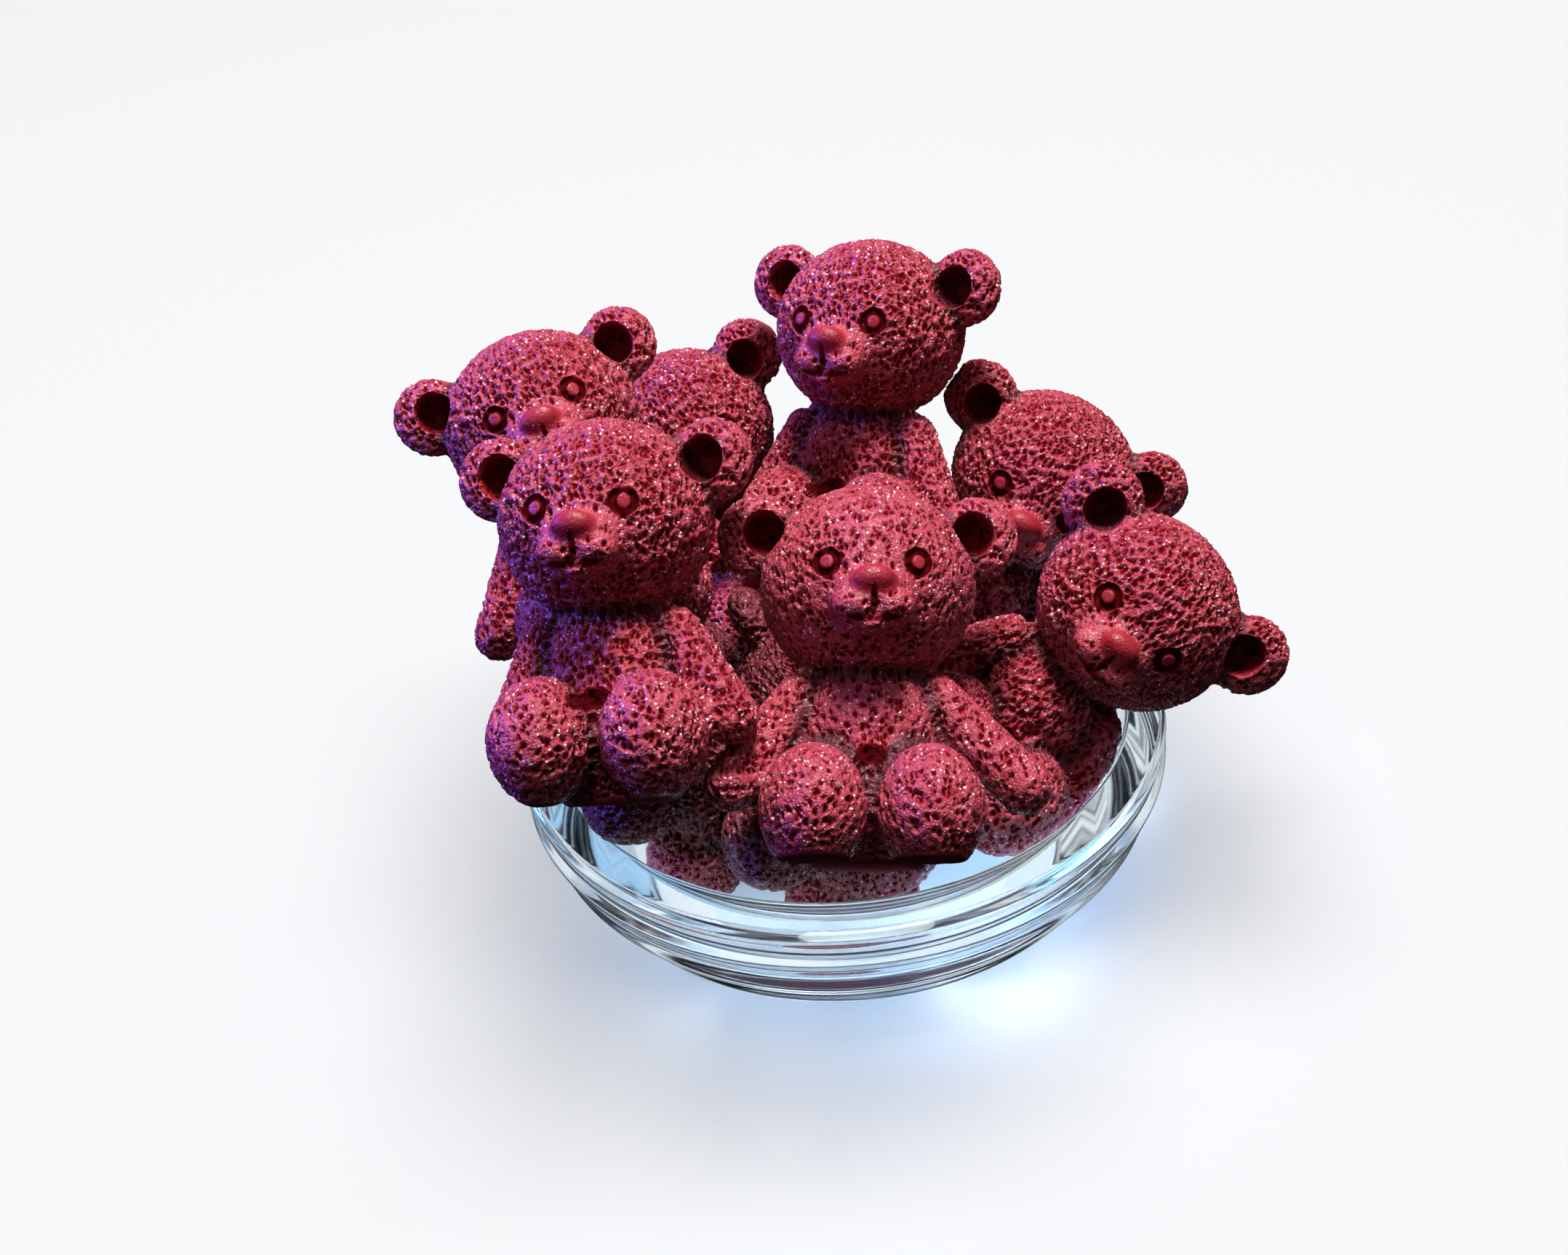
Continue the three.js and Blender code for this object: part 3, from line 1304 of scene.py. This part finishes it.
def laid_out() -> list[Bear]:
    """Lays the bears out, from the one that stands highest to the two at the bottom.

    Returns:
        The bears, none of them cast yet.
    """
    # Buried bears get painted shade over their whole skin, as they lie at the bottom of the heap.
    buried = {"grain": Grain.BURIED, "shaded": 0.7, "curly_base": True}
    return [
        Bear("bear_top", (3.4, 13.6, 31.1), 32, 69, -30, (11.5, 13)),
        Bear("bear_front", (0.3, -37.5, 26.5), 48, 81, -1, (15.2, 17.0), feet_up=-1.2, calm=0.3),
        Bear("bear_front_left", (-26.4, -30.7, 33.9), 41, 85, -12, (10.5, 14), feet_up=0.4),
        Bear("bear_left", (-24.4, -1.5, 32.5), 42, 114, 8, (14.5, 14)),
        Bear("bear_right", (11.3, -13.2, 17.5), 51, 7, -23),
        Bear("bear_back_right", (13.8, 18, 10.9), 31, 9, -20),
        Bear("bear_back_left", (-5.5, 26.4, 13.9), 27, 139, 10),
        Bear("bear_under_front", (1, -31.5, 21.5), 91, 96, -115, **buried),
        Bear("bear_under_left", (-14.5, -22.5, 25.5), 100, 106, -104, **buried),
    ]


@dataclass
class Heap:
    """The bears, each pressed in where it meets the dish or those above it in the list."""

    gap: float = 0.3
    form_edge: float = 0.34
    bears: list[Bear] = field(default_factory=laid_out)

    def build(self, dish: Dish) -> None:
        """Casts every bear, then finishes each against the dish and the bears before it.

        Args:
            dish: the dish that holds them.
        """
        mould = Mould()
        coat = Curls().nodes()
        taken = [dish.cutter(self.gap)]
        for bear in self.bears:
            bear.cast(mould, self.form_edge)
            bear.build(mould, coat, taken)
            taken.append(bear.swollen(self.gap))
            log.info("%s: %d faces", bear.piece.name, len(bear.piece.data.polygons))
        scrap([*taken, *(bear.form for bear in self.bears)])

    def dress(self, finish: bpy.types.Material) -> None:
        """Gives every bear its gummy.

        Args:
            finish: the gummy.
        """
        for bear in self.bears:
            bear.dress(finish)


# ---- Studio ----


class Lit(Enum):
    """What a lamp lights."""

    BEARS = "bears"
    GLASS = "glass"
    FLOOR = "floor"


@dataclass(frozen=True)
class Softbox:
    """A soft square lamp that looks at the heap and may light only some of what is there."""

    name: str
    lights: tuple[Lit, ...]
    at: Point
    size: float
    power: float
    colour: Tint

    def hang(self, target: Vector, things: dict[Lit, list[bpy.types.Object]]) -> None:
        """Adds the lamp.

        Args:
            target: the point that it looks at, in metres.
            things: all that a lamp can light.
        """
        lamp = bpy.data.lights.new(self.name, "AREA")
        lamp.shape = "SQUARE"
        lamp.size = self.size
        lamp.energy = self.power
        lamp.color = self.colour
        holder = bpy.data.objects.new(self.name, lamp)
        bpy.context.scene.collection.objects.link(holder)
        holder.location = self.at
        holder.rotation_euler = (target - Vector(self.at)).to_track_quat("-Z", "Y").to_euler()
        lit = bpy.data.collections.new("lit_by_" + self.name)
        for kind in self.lights:
            for thing in things[kind]:
                lit.objects.link(thing)
        holder.light_linking.receiver_collection = lit


@dataclass
class Studio:
    """A pale floor, soft lamps and the camera.

    Target and distance are millimetres, as the heap's sizes are. The floor and the lamps are in metres.
    Room is how bright the room looks, fill how brightly it lights the bears from above and gloom from below.
    """

    elevation: float = 35.0
    roll: float = -6.46
    target: Point = (-6, 6.29, 29.48)
    distance: float = 254.55
    lens: float = 45.64
    sensor: float = 36.0
    nearest: float = 0.01
    floor_size: float = 6.0
    floor_colour: Colour = (0.86, 0.86, 0.87, 1)
    floor_shade: Colour = (0.02, 0.02, 0.02, 1)
    floor_roughness: float = 0.8
    floor_gloss: float = 0.1
    room_colour: Colour = (0.9, 0.97, 1.0, 1)
    room_blue: Colour = (0.42, 0.70, 1.0, 1)
    room: float = 1.05
    fill: float = 0.05
    gloom: float = 0.01
    lamps: tuple[Softbox, ...] = (
        Softbox("key", (Lit.BEARS, Lit.GLASS), (0.10, 0.10, 0.68), 0.16, 7.8, (0.93, 0.95, 1.0)),
        Softbox("front_spark", (Lit.BEARS,), (0.25, -0.45, 0.50), 0.02, 0.14, (1.0, 0.98, 0.96)),
        Softbox("top_spark", (Lit.BEARS,), (-0.15, -0.20, 0.62), 0.02, 0.34, (1.0, 0.96, 1.0)),
        Softbox("right_spark", (Lit.BEARS,), (0.45, -0.05, 0.45), 0.02, 0.20, (0.9, 0.95, 1.0)),
        Softbox("back_spark", (Lit.BEARS,), (-0.05, 0.50, 0.50), 0.03, 0.50, (1.0, 0.96, 1.0)),
        Softbox("left_spark", (Lit.BEARS,), (-0.35, -0.40, 0.50), 0.02, 0.08, (0.9, 0.85, 1.0)),
        Softbox("violet_side", (Lit.BEARS,), (-0.50, 0.10, 0.24), 0.22, 5.0, (0.12, 0.12, 1.0)),
        Softbox("glass_front", (Lit.GLASS,), (0.0, -0.50, 0.40), 0.40, 8.0, (0.80, 0.97, 1.0)),
        Softbox("glass_right", (Lit.GLASS,), (0.50, -0.20, 0.12), 0.30, 12.0, (0.15, 0.45, 1.0)),
        Softbox("glass_left", (Lit.GLASS,), (-0.50, -0.30, 0.10), 0.30, 3.0, (0.80, 0.80, 1.0)),
        Softbox("floor_wash", (Lit.FLOOR,), (0.0, 0.10, 2.0), 2.00, 56.0, (1.0, 1.0, 1.0)),
    )

    def lay_floor(self) -> bpy.types.Object:
        """Adds the plain pale floor.

        Returns:
            The floor.
        """
        bpy.ops.mesh.primitive_plane_add(size=self.floor_size)
        floor = bpy.context.object
        floor.name = "floor"
        material = bpy.data.materials.new("pale_floor")
        material.use_nodes = True
        wire = Wiring(material.node_tree)
        shader = material.node_tree.nodes["Principled BSDF"]
        bounces = wire.add("ShaderNodeLightPath").outputs["Diffuse Depth"]
        colour = wire.blend(wire.math("LESS_THAN", bounces, 0.5), self.floor_shade, self.floor_colour)
        wire.plug(colour, shader.inputs["Base Color"])
        shader.inputs["Roughness"].default_value = self.floor_roughness
        shader.inputs["Specular IOR Level"].default_value = self.floor_gloss
        floor.data.materials.append(material)
        # The floor's light stays off the bears.
        floor.visible_diffuse = False
        floor.visible_glossy = False
        return floor

    def hang_lamps(self, things: dict[Lit, list[bpy.types.Object]]) -> None:
        """Adds the soft lamps and the room's even light.

        Args:
            things: all that a lamp can light.
        """
        for lamp in self.lamps:
            lamp.hang(Vector(self.target) * MM, things)
        bpy.context.scene.world = self.sky()
        bpy.context.scene.view_settings.view_transform = "Standard"

    def sky(self) -> bpy.types.World:
        """A pale room: bright where it is seen through the glass, dim where it lights the bears.

        Returns:
            The world, bluer to the right and darker below.
        """
        world = bpy.data.worlds.new("studio")
        world.use_nodes = True
        wire = Wiring(world.node_tree)
        towards = wire.add("ShaderNodeTexCoord").outputs["Generated"]
        path = wire.add("ShaderNodeLightPath")
        inside = wire.math("GREATER_THAN", path.outputs["Transmission Depth"], 0.5)
        seen = wire.math("MAXIMUM", inside, path.outputs["Is Camera Ray"])
        seen = wire.math("MULTIPLY", seen, wire.math("LESS_THAN", path.outputs["Diffuse Depth"], 0.5))
        light = wire.ease(wire.part(towards, 2), -0.1, 0.8, self.gloom, self.fill)
        strength = wire.math("MAXIMUM", light, wire.math("MULTIPLY", seen, self.room))
        rightward = wire.ease(wire.part(towards, 0), -0.1, 0.7)
        background = world.node_tree.nodes["Background"]
        wire.plug(wire.blend(rightward, self.room_colour, self.room_blue), background.inputs["Color"])
        wire.plug(strength, background.inputs["Strength"])
        return world

    def set_camera(self) -> None:
        """Adds the camera, looking slightly down at the heap and tipped a little."""
        lift = math.radians(self.elevation)
        back = Vector((0, -math.cos(lift), math.sin(lift)))
        up = Vector((0, math.sin(lift), math.cos(lift)))
        level = Matrix((Vector((1, 0, 0)), up, back)).transposed()
        turn = level @ Matrix.Rotation(math.radians(self.roll), 3, "Z")
        data = bpy.data.cameras.new("camera")
        data.lens = self.lens
        data.sensor_width = self.sensor
        data.clip_start = self.nearest
        camera = bpy.data.objects.new("camera", data)
        bpy.context.scene.collection.objects.link(camera)
        place = Matrix.Translation((Vector(self.target) + back * self.distance) * MM)
        camera.matrix_world = place @ turn.to_4x4()
        bpy.context.scene.camera = camera

    def build(self, dish: Dish, heap: Heap) -> None:
        """Sets the whole studio up.

        Args:
            dish: the dish.
            heap: the bears.
        """
        floor = self.lay_floor()
        bears = [bear.piece for bear in heap.bears]
        self.hang_lamps({Lit.BEARS: bears, Lit.GLASS: [dish.piece], Lit.FLOOR: [floor]})
        self.set_camera()


def main() -> None:
    """Builds the dish, the heap and the studio in order."""
    logging.basicConfig(level=logging.INFO, format="%(message)s")
    dish = Dish()
    dish.build()
    dish.dress(GlassFinish().material())
    log.info("%s: %d faces", dish.piece.name, len(dish.piece.data.polygons))
    heap = Heap()
    heap.build(dish)
    heap.dress(GummyFinish().material(Curls()))
    Studio().build(dish, heap)


if __name__ == "__main__":
    main()
